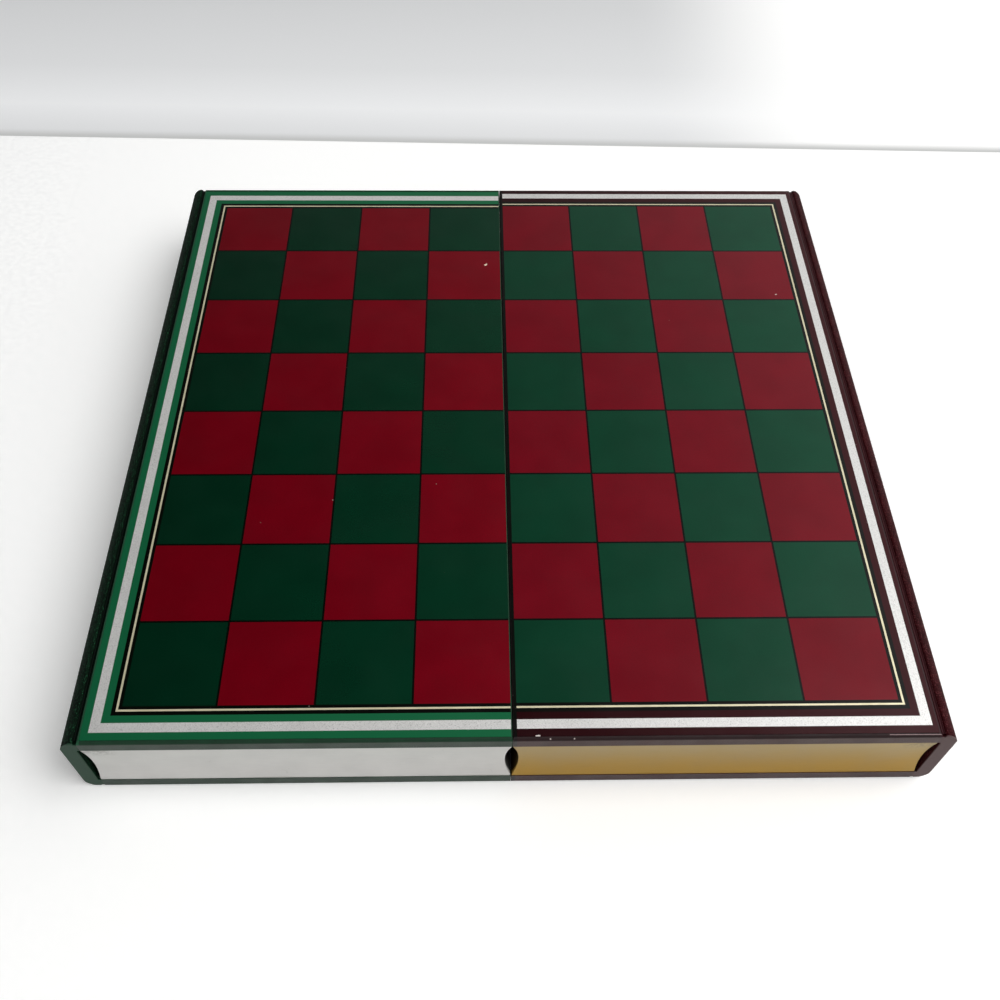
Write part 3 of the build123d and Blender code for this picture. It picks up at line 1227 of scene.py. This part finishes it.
def men() -> list[Man]:
    """The six kinds of men with their turned sections.

    Returns:
        One man of each kind.
    """
    pawn = ((4.7, 7.0), (3.7, 10.6), (3.1, 15.2), (3.05, 19.0), (3.7, 19.7), (5.2, 20.4), (5.6, 21.2),
            (5.3, 21.9), (4.1, 22.4), (3.4, 22.9), (3.3, 23.5)) + ball(28.4, 5.6, 52)
    rook = ((5.9, 7.6), (5.0, 12.0), (4.6, 18.0), (4.6, 24.0), (5.2, 24.7), (6.5, 25.3), (6.8, 25.9),
            (6.5, 26.5), (6.0, 26.9), (6.3, 27.6), (7.2, 28.6), (7.4, 29.4), (7.4, 34.6))
    bishop = ((5.4, 8.0), (4.2, 13.0), (3.4, 19.0), (3.1, 27.4), (4.0, 28.6), (5.4, 29.4), (5.8, 30.3),
              (5.4, 31.2), (3.7, 31.9), (3.2, 32.8), (4.3, 34.4), (5.3, 36.0), (5.8, 37.8), (5.5, 39.6),
              (4.6, 41.6), (3.3, 43.2), (2.0, 44.1), (1.4, 44.4), (1.7, 44.9), (1.6, 45.4), (1.1, 45.8),
              (0.3, 46.0))
    queen = ((6.2, 8.6), (4.8, 14.0), (3.9, 21.0), (3.5, 29.0), (3.4, 34.0), (4.4, 34.9), (6.0, 35.6),
             (6.3, 36.4), (6.0, 37.2), (4.5, 37.8), (3.9, 38.8), (4.1, 41.0), (4.9, 44.4), (6.2, 47.2),
             (7.0, 48.4), (7.0, 48.9))
    king = ((6.4, 9.0), (5.0, 15.0), (4.1, 23.0), (3.7, 30.0), (3.5, 35.0), (4.6, 36.0), (6.0, 36.8),
            (6.2, 37.6), (5.9, 38.4), (4.5, 39.0), (4.0, 40.2), (4.2, 43.0), (5.1, 46.8), (6.3, 49.2),
            (6.8, 50.1), (6.6, 50.8), (5.4, 51.2), (3.6, 51.7), (2.0, 51.9), (1.7, 52.3), (1.5, 52.8))
    return [
        Man(ManKind.PAWN, 8.6, 34.0, 5.6, 30.36, pawn),
        Rook(ManKind.ROOK, 10.0, 37.0, 7.4, 37.0, rook),
        Bishop(ManKind.BISHOP, 10.0, 46.0, 5.8, 37.3, bishop),
        Queen(ManKind.QUEEN, 10.6, 53.0, 7.0, 48.8, queen),
        King(ManKind.KING, 10.6, 60.0, 6.8, 50.3, king),
        Knight(ManKind.KNIGHT, 10.0, 42.0, 3.5, 42.0, ((6.6, 5.0),)),
    ]


@dataclass(frozen=True)
class Tray:
    """Inside of a volume: where the men lie and where the linings are."""

    cover: Cover
    floor: float = 7.5
    inner_start: float = 9.35
    inner_end: float = 157.0
    foot_clearance: float = 3.0
    cell_pitch: float = 39.64
    cells: int = 8

    def lay_men(self, made: dict[Man, Piece], finish: Finish, felt: Finish) -> None:
        """Copy the men into their cells.

        Args:
            made: One upright man of each kind.
            finish: Metal finish of the men.
            felt: Felt of the pads under their feet.
        """
        mirrored = Matrix.Diagonal((self.cover.value, 1, 1, 1))
        for man, model in made.items():
            toward = 1 if man.kind is ManKind.PAWN else -1
            wall = self.inner_start if toward > 0 else self.inner_end
            start = wall + toward * self.foot_clearance
            for number, cell in enumerate(man.kind.value, 1):
                piece = model.copy()
                piece.data = model.data.copy()
                piece.name = f"{self.cover.metal}_{man.kind.word}_{number}"
                bpy.context.collection.objects.link(piece)
                line = (cell - (self.cells - 1) / 2) * self.cell_pitch
                place = Matrix.Translation((start * MM, line * MM, self.floor * MM)) @ man.lie(toward)
                laid = mirrored @ place @ mirrored
                piece.data.transform(laid)
                finish.dress(piece)
                self.pad(piece, laid.inverted(), man.pad, felt)
                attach(piece, f"{self.cover.word}_case")
                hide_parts(f"{self.cover.metal}_{man.kind.node}")
                log.info("%s lies in cell %d", piece.name, cell)

    @staticmethod
    def pad(piece: Piece, upright: Matrix, pad: float, felt: Finish) -> None:
        """Give the felt pad's faces their own slot.

        Args:
            piece: Man that lies in its cell.
            upright: Stands it up again.
            pad: How thick the pad is, in millimetres.
            felt: Felt finish.
        """
        piece.data.materials.append(felt.material(piece.name))
        for face in piece.data.polygons:
            if (upright @ face.center).z < (pad - 0.01) * MM:
                face.material_index = 1

    def line(self, finish: Finish) -> None:
        """Lay felt on the back board and under the cover.

        Args:
            finish: Felt of this volume.
        """
        word = self.cover.word
        for side, part in (("floor", "case"), ("cover", "cover")):
            node, body = f"{word}_{side}_lining", f"{word}_{part}"
            low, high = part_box(node)
            sheet = self.felt_sheet(f"{word}_{side}_felt", low, high)
            finish.dress(sheet)
            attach(sheet, body)
            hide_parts(node)

    @staticmethod
    def felt_sheet(name: str, low: Vector, high: Vector) -> Piece:
        """Felt cut to a box, with soft edges and a slightly uneven face.

        Args:
            name: Name of the sheet.
            low: Lowest corner.
            high: Highest corner.

        Returns:
            The sheet.
        """
        clear_selection()
        size, middle = high - low, (low + high) / 2
        bpy.ops.mesh.primitive_grid_add(x_subdivisions=40, y_subdivisions=80, size=1)
        sheet = bpy.context.object
        sheet.name = name
        inset, lumps = 0.15 * MM, 0.1 * MM
        scale = Matrix.Diagonal((size.x - 2 * inset, size.y - 2 * inset, 1, 1))
        sheet.data.transform(Matrix.Translation(middle) @ scale)
        finish_with(sheet, "SOLIDIFY", thickness=size.z - lumps, offset=0.0)
        finish_with(sheet, "BEVEL", width=0.25 * MM, segments=2, limit_method="ANGLE",
                    angle_limit=math.radians(40))
        clouds = bpy.data.textures.new(name + " lumps", "CLOUDS")
        clouds.noise_scale = 9 * MM
        finish_with(sheet, "DISPLACE", texture=clouds, texture_coords="LOCAL", direction="Z",
                    strength=lumps, mid_level=0.5)
        smooth(sheet, 50)
        return sheet


@dataclass(frozen=True)
class JointCloth:
    """Leathercloth that bridges a joint and sinks between board and spine."""

    cover: Cover
    sink: float = 0.45
    cloth: float = 0.4
    columns: int = 8
    rows: int = 60

    def build(self, node: str, rises: int) -> Piece:
        """Make the cloth over one joint.

        Args:
            node: CAD node it stands for.
            rises: 1 for the upper joint, -1 for the lower one, whose hollow faces down.

        Returns:
            The cloth.
        """
        clear_selection()
        low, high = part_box(node)
        size, middle = high - low, (low + high) / 2
        bpy.ops.mesh.primitive_grid_add(x_subdivisions=self.columns, y_subdivisions=self.rows, size=1)
        cloth = bpy.context.object
        cloth.name = node.replace("strip", "cloth")
        face = high.z if rises > 0 else low.z
        place = Matrix.Translation((middle.x, middle.y, face - rises * self.cloth * MM / 2))
        cloth.data.transform(place @ Matrix.Diagonal((size.x, size.y, 1, 1)))
        for vertex in cloth.data.vertices:
            share = math.cos(math.pi * (vertex.co.x - middle.x) / size.x)
            vertex.co.z -= rises * self.sink * MM * share
        finish_with(cloth, "SOLIDIFY", thickness=self.cloth * MM, offset=0.0)
        smooth(cloth, 50)
        return cloth

    def fit(self, finish: Finish) -> None:
        """Put both cloths on the volume; the lower one goes with the case.

        Args:
            finish: Leathercloth finish.
        """
        word, way = self.cover.word, self.cover.value
        lower = self.build(f"{word}_back_joint_strip", -1)
        finish.dress(lower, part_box(f"{word}_back_joint_strip"))
        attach(lower, f"{word}_case")
        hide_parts(f"{word}_back_joint_strip")
        upper = self.build(f"{word}_joint_strip", 1)
        low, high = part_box(f"{word}_joint_strip")
        finish.dress(upper, (low, high))
        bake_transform(upper)
        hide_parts(f"{word}_joint_strip")
        for cloth in (lower, upper):
            log.info("%s bridges the joint", cloth.name)


@dataclass(frozen=True)
class Volume:
    """One volume: its covers, spine, page block and tray."""

    cover: Cover
    board: Leathercloth
    spine: SpineHide
    joint: Leathercloth
    print_face: PrintedBoard
    pages: PagePaint
    felt: Felt
    wood: SandedWood
    nickel: PlatedMetal
    metal: PlatedMetal

    def dress_frame(self) -> None:
        """Put finishes on the CAD pieces that stay as they are."""
        finishes = (
            (self.board, "front_board back_board"), (self.spine, "spine"), (self.print_face, "board_print"),
            (self.wood, "long_divider cross_dividers"), (self.nickel, "rail_magnets cover_magnets"),
            (self.pages, "fore_edge_rail spine_rail head_rail tail_rail"))
        for finish, names in finishes:
            for name in names.split():
                node = f"{self.cover.word}_{name}"
                finish.dress(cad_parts[node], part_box(node))

    def build(self, made: dict[Man, Piece]) -> None:
        """Dress the frame and add joint cloths, linings and men.

        Args:
            made: One upright man of each kind.
        """
        self.dress_frame()
        JointCloth(self.cover).fit(self.joint)
        tray = Tray(self.cover)
        tray.line(self.felt)
        tray.lay_men(made, self.metal, self.felt)


def volumes(effects: Effects) -> list[Volume]:
    """Both volumes with their finishes.

    Args:
        effects: The shared effects.

    Returns:
        The green volume and the maroon one.
    """
    wood = SandedWood(effects, "sanded wood", paint(196, 158, 112), paint(160, 118, 76), paint(98, 66, 40))
    nickel = PlatedMetal(effects, "nickel", paint(190, 190, 188), paint(120, 118, 112), (0.2, 0.4))
    green = Volume(
        Cover.GREEN,
        board=Leathercloth(effects, "green leathercloth", paint(10, 46, 26), paint(92, 116, 98),
                           paint(2, 50, 27), paint(20, 84, 54)),
        spine=SpineHide(effects, "green spine hide", paint(3, 25, 12), paint(20, 48, 32),
                        paint(48, 112, 76), paint(50, 74, 60)),
        # painted shade: the green joint cloth is near black for the deep shade in its groove
        joint=Leathercloth(effects, "green joint cloth", paint(0, 8, 3), paint(8, 26, 14), shine=0.05),
        # painted light: the green print's squares and border are the shaded copy, darker toward the left
        print_face=PrintedBoard(
            effects, "green print", Cover.GREEN, (paint(2, 49, 30), paint(1, 35, 20)),
            (paint(112, 1, 18), paint(99, 0, 14)), (paint(25, 100, 63), paint(19, 89, 56)),
            paint(6, 56, 30), (-0.003, -0.034, -0.052),
            (Mark((-8.4, 102.6), (-7.8, 103.3), 0.5, paint(236, 214, 190)),), 0.0),
        pages=PagePaint(effects, "silver pages", paint(214, 214, 210), paint(214, 212, 209),
                        paint(16, 34, 26), 0.35),
        felt=Felt(effects, "green felt", paint(14, 66, 40), paint(34, 98, 64)),
        wood=wood, nickel=nickel,
        metal=PlatedMetal(effects, "silver plate", paint(212, 212, 210), paint(150, 149, 146)),
    )
    # two chips, and a scuff along the right front rim that also carries a painted highlight line
    rim_scuffs_and_highlight = (Mark((14.3, -166.3), (14.5, -166.3), 0.2, paint(190, 178, 174)),
                 Mark((23.5, -166.3), (23.7, -166.3), 0.2, paint(190, 178, 174)),
                 Mark((145.5, -165.9), (166.0, -166.0), 0.14, paint(150, 128, 128)))
    maroon = Volume(
        Cover.MAROON,
        board=Leathercloth(effects, "maroon leathercloth", paint(50, 7, 9), paint(124, 96, 96),
                           paint(30, 2, 4), paint(44, 5, 10), rim_scuffs_and_highlight, 1.7),
        spine=SpineHide(effects, "maroon spine hide", paint(52, 5, 11), paint(96, 50, 50),
                        paint(150, 84, 88), paint(92, 74, 74)),
        joint=Leathercloth(effects, "maroon joint cloth", paint(66, 25, 30), paint(80, 42, 44), shine=0.3),
        # painted light: the maroon print's squares are a lit copy of the green print's inks, and squares and
        # border get lighter toward the right
        print_face=PrintedBoard(
            effects, "maroon print", Cover.MAROON, (paint(4, 55, 35), paint(6, 69, 46)),
            (paint(109, 2, 20), paint(116, 4, 24)), (paint(35, 1, 5), paint(56, 2, 10)),
            paint(32, 3, 6), (-0.005, -0.008, 0.0),
            (Mark((143.2, 79.9), (143.4, 80.0), 0.35, paint(225, 200, 190)),
             Mark((9.0, -165.3), (10.2, -165.2), 0.32, paint(225, 215, 210))), 1.7),
        pages=PagePaint(effects, "gold pages", paint(175, 153, 104), paint(174, 137, 54),
                        paint(40, 14, 16), 0.65),
        felt=Felt(effects, "maroon felt", paint(88, 18, 26), paint(122, 38, 46)),
        wood=wood, nickel=nickel,
        metal=PlatedMetal(effects, "gold plate", paint(222, 178, 96), paint(160, 118, 58)),
    )
    return [green, maroon]


@dataclass(frozen=True)
class Studio:
    """Pale table, soft light and the photograph's camera."""

    camera_place: tuple[float, float, float] = (-13.25, -334.86, 423.09)
    camera_axes: tuple[tuple[float, float, float], ...] = (
        (0.99976, 0.004462, -0.021438), (-0.01634, 0.803789, -0.59469), (0.014578, 0.594898, 0.803669))
    lens: float = 38.337
    table_lift: float = 0.24
    fold: tuple[Point, Point] = ((-324.2, 276.6), (334.7, 261.3))
    far_depth: float = 170.0
    far_tones: tuple[tuple[float, int], ...] = ((0.0, 212), (0.06, 218), (0.22, 230), (0.5, 216), (1.0, 206))
    lamp_place: tuple[float, float, float] = (0.9, -0.35, 1.5)
    lamp_side: float = 1.2
    lamp_power: float = 17.0
    sky_light: float = 1.26

    def camera(self) -> None:
        """Put the camera where the photograph was taken from."""
        data = bpy.data.cameras.new("camera")
        data.lens, data.sensor_width, data.sensor_fit = self.lens, 36.0, "HORIZONTAL"
        camera = bpy.data.objects.new("camera", data)
        place = Matrix.Translation(Vector(self.camera_place) * MM)
        camera.matrix_world = place @ Matrix(self.camera_axes).to_4x4()
        bpy.context.collection.objects.link(camera)
        bpy.context.scene.camera = camera

    def table(self) -> None:
        """White table whose paper turns grey beyond a fold behind the object: painted shade along the fold
        and over the far side, which turns pale toward the right, and painted shade toward the left of the
        table.
        """
        clear_selection()
        bpy.ops.mesh.primitive_plane_add(size=8.0)
        table = bpy.context.object
        table.name = "table"
        coat = Coat("table paper")
        (start_x, start_y), (end_x, end_y) = self.fold
        slope = (end_y - start_y) / (end_x - start_x)
        x, y, _ = coat.axes()
        beyond = y - (x * slope + (start_y - slope * start_x) * MM)
        # painted shade: beyond the fold the paper greys by distance from it, in the listed tones
        grey = coat.add("ShaderNodeValToRGB", {0: beyond / (self.far_depth * MM)})
        tones = grey.color_ramp.elements
        tones.remove(tones[1])
        for share, tone in self.far_tones:
            stop = tones.new(share) if share else tones[0]
            stop.color = paint(tone, tone + 1, tone + 2)
        # painted light: the far side turns pale toward the right
        pale = x.step(0.1, 0.25).most(beyond.step(0.19, 0.4))
        far = coat.mix(pale, grey.outputs[0], paint(252, 252, 251))
        # painted shade: a grey line along the fold
        fold_shade = coat.mix(beyond.step(0.0, 9 * MM), paint(188, 189, 188), far)
        # painted shade: the paper is greyer toward the left
        left = coat.mix(x.step(-0.42, -0.12), paint(236, 237, 237), paint(250, 250, 249))
        paper = coat.mix(coat.clouds(3.0, 4.0, 0.0, 1.0), left, paint(252, 252, 251))
        colour = coat.mix(beyond > 0.0, paper, fold_shade)
        is_camera = Value(coat, coat.add("ShaderNodeLightPath").outputs["Is Camera Ray"])
        coat.shade(Base_Color=colour, Emission_Color=colour, Emission_Strength=is_camera * self.table_lift,
                   Roughness=0.7, Specular_IOR_Level=0.2)
        table.data.materials.append(coat.material)

    def lamp(self) -> None:
        """Hang a square soft lamp that faces the object."""
        data = bpy.data.lights.new("key", "AREA")
        data.shape, data.size, data.energy = "SQUARE", self.lamp_side, self.lamp_power
        lamp = bpy.data.objects.new("key", data)
        lamp.location = self.lamp_place
        lamp.rotation_euler = Vector(self.lamp_place).to_track_quat("Z", "Y").to_euler()
        bpy.context.collection.objects.link(lamp)

    def sky(self) -> None:
        """Soft light from all round, dimmer overhead on the left and where the viewer stands."""
        world = bpy.data.worlds.new("room")
        bpy.context.scene.world = world
        world.use_nodes = True
        bench = Bench(world.node_tree)
        way = bench.add("ShaderNodeTexCoord").outputs["Generated"]

        def near(*direction: float) -> Value:
            """How near the way is to a direction: 1 when it is the same."""
            return bench.measure("DOT_PRODUCT", way, tuple(Vector(direction).normalized()))

        overhead = near(-0.4, 0.36, 0.85).step(0.39, 0.97)
        viewer = near(0.0, -0.86, 0.5).step(0.55, 0.95, 1.0, 0.12)
        wall = near(0.1, 0.85, 0.52).step(0.84, 1.0, 1.0, 0.6)
        light = bench.mix(overhead, (*(self.sky_light,) * 3, 1.0), BLACK)
        room = world.node_tree.nodes["Background"]
        bench.feed(room.inputs[0], bench.mix(1.0, light, viewer * wall, "MULTIPLY"))
        seen = bench.add("ShaderNodeBackground", {0: paint(236, 237, 238), 1: 1.0}).outputs[0]
        is_camera = bench.add("ShaderNodeLightPath").outputs["Is Camera Ray"]
        both = bench.add("ShaderNodeMixShader", {0: is_camera, 1: room.outputs[0], 2: seen}).outputs[0]
        bench.feed(world.node_tree.nodes["World Output"].inputs[0], both)

    def build(self) -> None:
        """Set up camera, table and light."""
        bpy.context.scene.view_settings.view_transform = "Standard"
        self.camera()
        self.table()
        self.sky()
        self.lamp()
        log.info("studio is ready")


def main() -> None:
    """Build the studio and both volumes."""
    logging.basicConfig(level=logging.INFO, format="%(name)s: %(message)s")
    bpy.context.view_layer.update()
    Studio().build()
    made = {man: man.build() for man in men()}
    for volume in volumes(Effects.build()):
        volume.build(made)
    for model in made.values():
        bpy.data.objects.remove(model)


if __name__ == "__main__":
    main()
